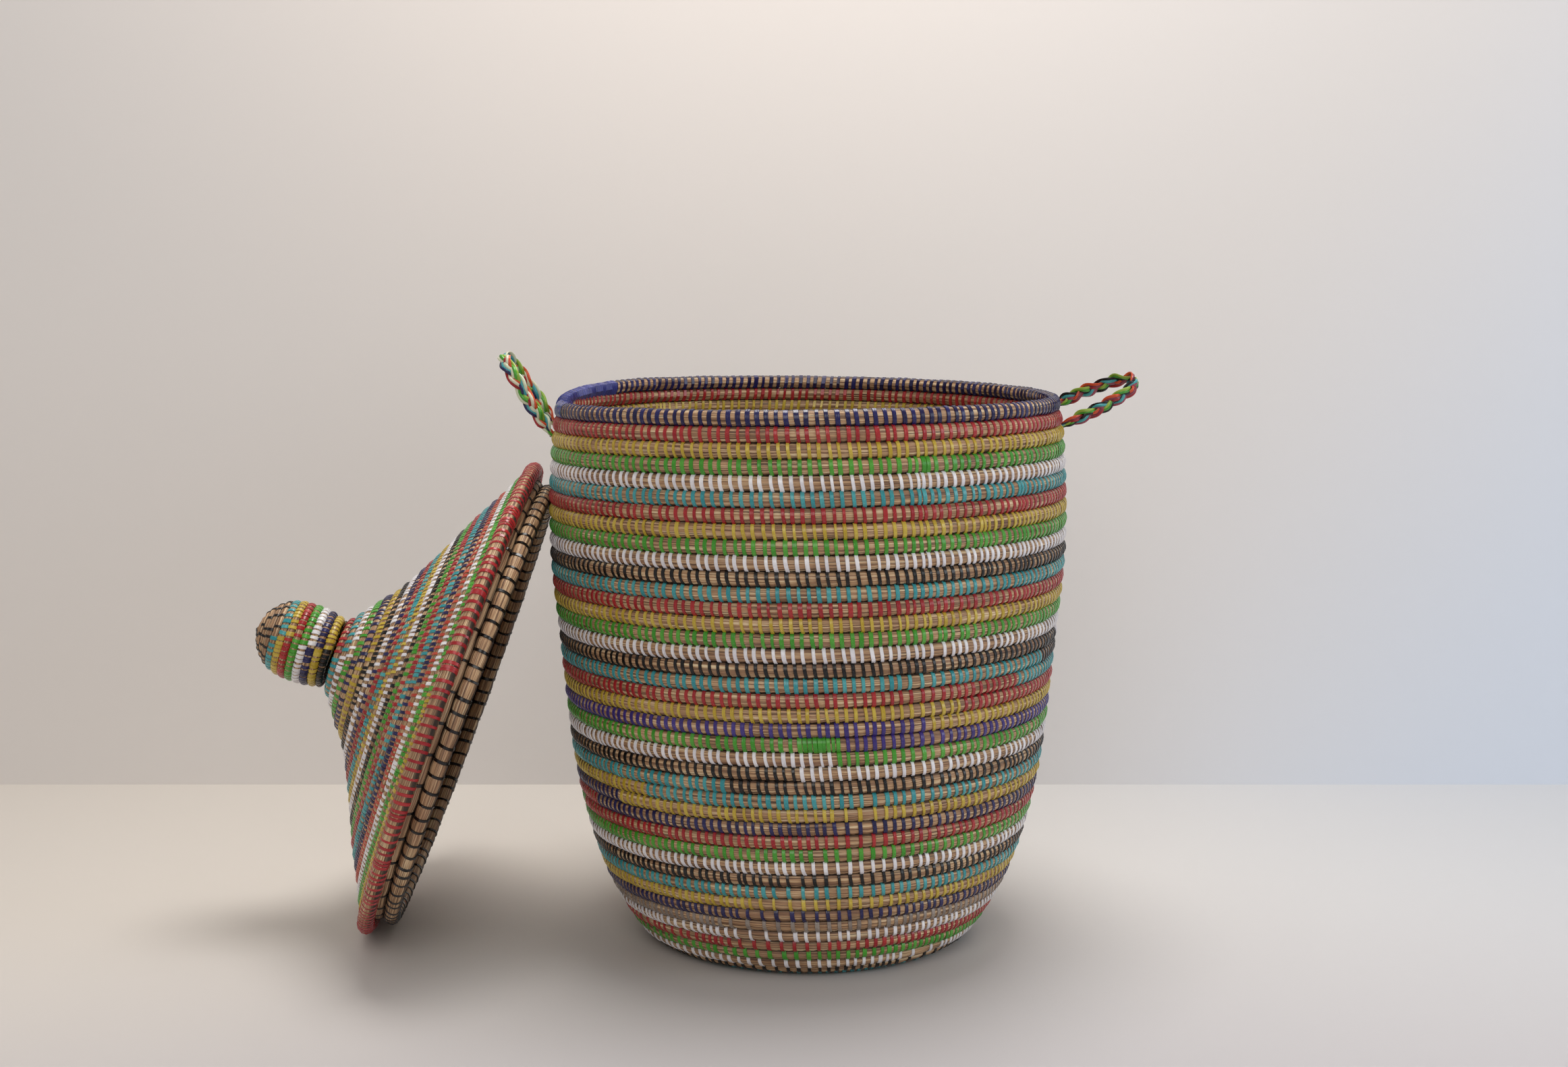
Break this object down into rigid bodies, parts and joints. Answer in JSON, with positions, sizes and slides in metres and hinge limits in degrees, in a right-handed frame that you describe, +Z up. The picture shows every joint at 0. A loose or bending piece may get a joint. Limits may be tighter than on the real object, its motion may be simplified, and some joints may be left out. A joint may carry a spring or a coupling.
{
  "type": "lidded basket",
  "caption": "Round coiled straw basket bound with coloured strips, with two plaited carrying loops and a pointed lid leaning against its side.",
  "frame": {"origin": "middle of the basket's flat base, on the floor", "axes": "+Z up along the basket's axis, +X through the right-hand loop, away from the leaning lid"},
  "size_m": [0.7131, 0.4387, 0.4725],
  "materials": {
    "plait_navy": "semi-gloss plastic strip over straw",
    "plait_red": "semi-gloss plastic strip over straw",
    "straw": "dry natural grass",
    "strip_black": "semi-gloss plastic strip over straw",
    "strip_blue": "semi-gloss plastic strip over straw",
    "strip_green": "semi-gloss plastic strip over straw",
    "strip_grey": "semi-gloss plastic strip over straw",
    "strip_navy": "semi-gloss plastic strip over straw",
    "strip_purple": "semi-gloss plastic strip over straw",
    "strip_red": "semi-gloss plastic strip over straw",
    "strip_turquoise": "semi-gloss plastic strip over straw",
    "strip_white": "semi-gloss plastic strip over straw",
    "strip_yellow": "semi-gloss plastic strip over straw"
  },
  "bodies": {
    "basket": {"base_disc": "straw", "wall_row_01_blue": "strip_blue", "wall_row_02_red": "strip_red", "wall_row_03_yellow": "strip_yellow", "wall_row_04_green": "strip_green", "wall_row_05_white": "strip_white", "wall_row_06_turquoise": "strip_turquoise", "wall_row_07_red": "strip_red", "wall_row_08_yellow": "strip_yellow", "wall_row_09_green": "strip_green", "wall_row_10_white": "strip_white", "wall_row_11_black": "strip_black", "wall_row_12_turquoise": "strip_turquoise", "wall_row_13_red": "strip_red", "wall_row_14_yellow": "strip_yellow", "wall_row_15_green": "strip_green", "wall_row_16_white": "strip_white", "wall_row_17_black": "strip_black", "wall_row_18_turquoise": "strip_turquoise", "wall_row_19_red": "strip_red", "wall_row_20_yellow": "strip_yellow", "wall_row_21_purple": "strip_purple", "wall_row_22_green": "strip_green", "wall_row_23_white": "strip_white", "wall_row_24_black": "strip_black", "wall_row_25_turquoise": "strip_turquoise", "wall_row_26_yellow": "strip_yellow", "wall_row_27_navy": "strip_navy", "wall_row_28_red": "strip_red", "wall_row_29_green": "strip_green", "wall_row_30_white": "strip_white", "wall_row_31_black": "strip_black", "wall_row_32_turquoise": "strip_turquoise", "wall_row_33_yellow": "strip_yellow", "wall_row_34_navy": "strip_navy", "wall_row_35_grey": "strip_grey", "wall_row_36_white": "strip_white", "wall_row_37_red": "strip_red", "wall_row_38_green": "strip_green", "wall_row_39_white": "strip_white", "wall_row_40_black": "strip_black", "wall_row_41_turquoise": "strip_turquoise"},
    "loop_left": {"loop_left": "plait_red"},
    "loop_right": {"loop_right": "plait_navy"},
    "lid": {"lid_cone_coil_01_turquoise": "strip_turquoise", "lid_cone_coil_02_green": "strip_green", "lid_cone_coil_03_yellow": "strip_yellow", "lid_cone_coil_04_white": "strip_white", "lid_cone_coil_05_red": "strip_red", "lid_cone_coil_06_yellow": "strip_yellow", "lid_cone_coil_07_black": "strip_black", "lid_cone_coil_08_red": "strip_red", "lid_cone_coil_09_navy": "strip_navy", "lid_cone_coil_10_green": "strip_green", "lid_knob": "strip_blue", "lid_plug_coil_lower": "straw", "lid_plug_coil_upper": "straw", "lid_rim_coil": "strip_red"}
  },
  "joints": [
    {"name": "loop_left_swing", "type": "hinge", "parent": "basket", "child": "loop_left", "pos_m": [-0.20568, 0, 0.4143], "axis": [0, 0.9781, 0.2079], "range_deg": [-48, 27]},
    {"name": "loop_right_swing", "type": "hinge", "parent": "basket", "child": "loop_right", "pos_m": [0.20605, 0, 0.41999], "axis": [0, -0.9205, -0.3907], "range_deg": [-17, 58]},
    {"name": "lid_lift", "type": "slide", "parent": "basket", "child": "lid", "axis": [-0.9376, 0.0229, 0.3469], "range_m": [0, 0.25]}
  ]
}
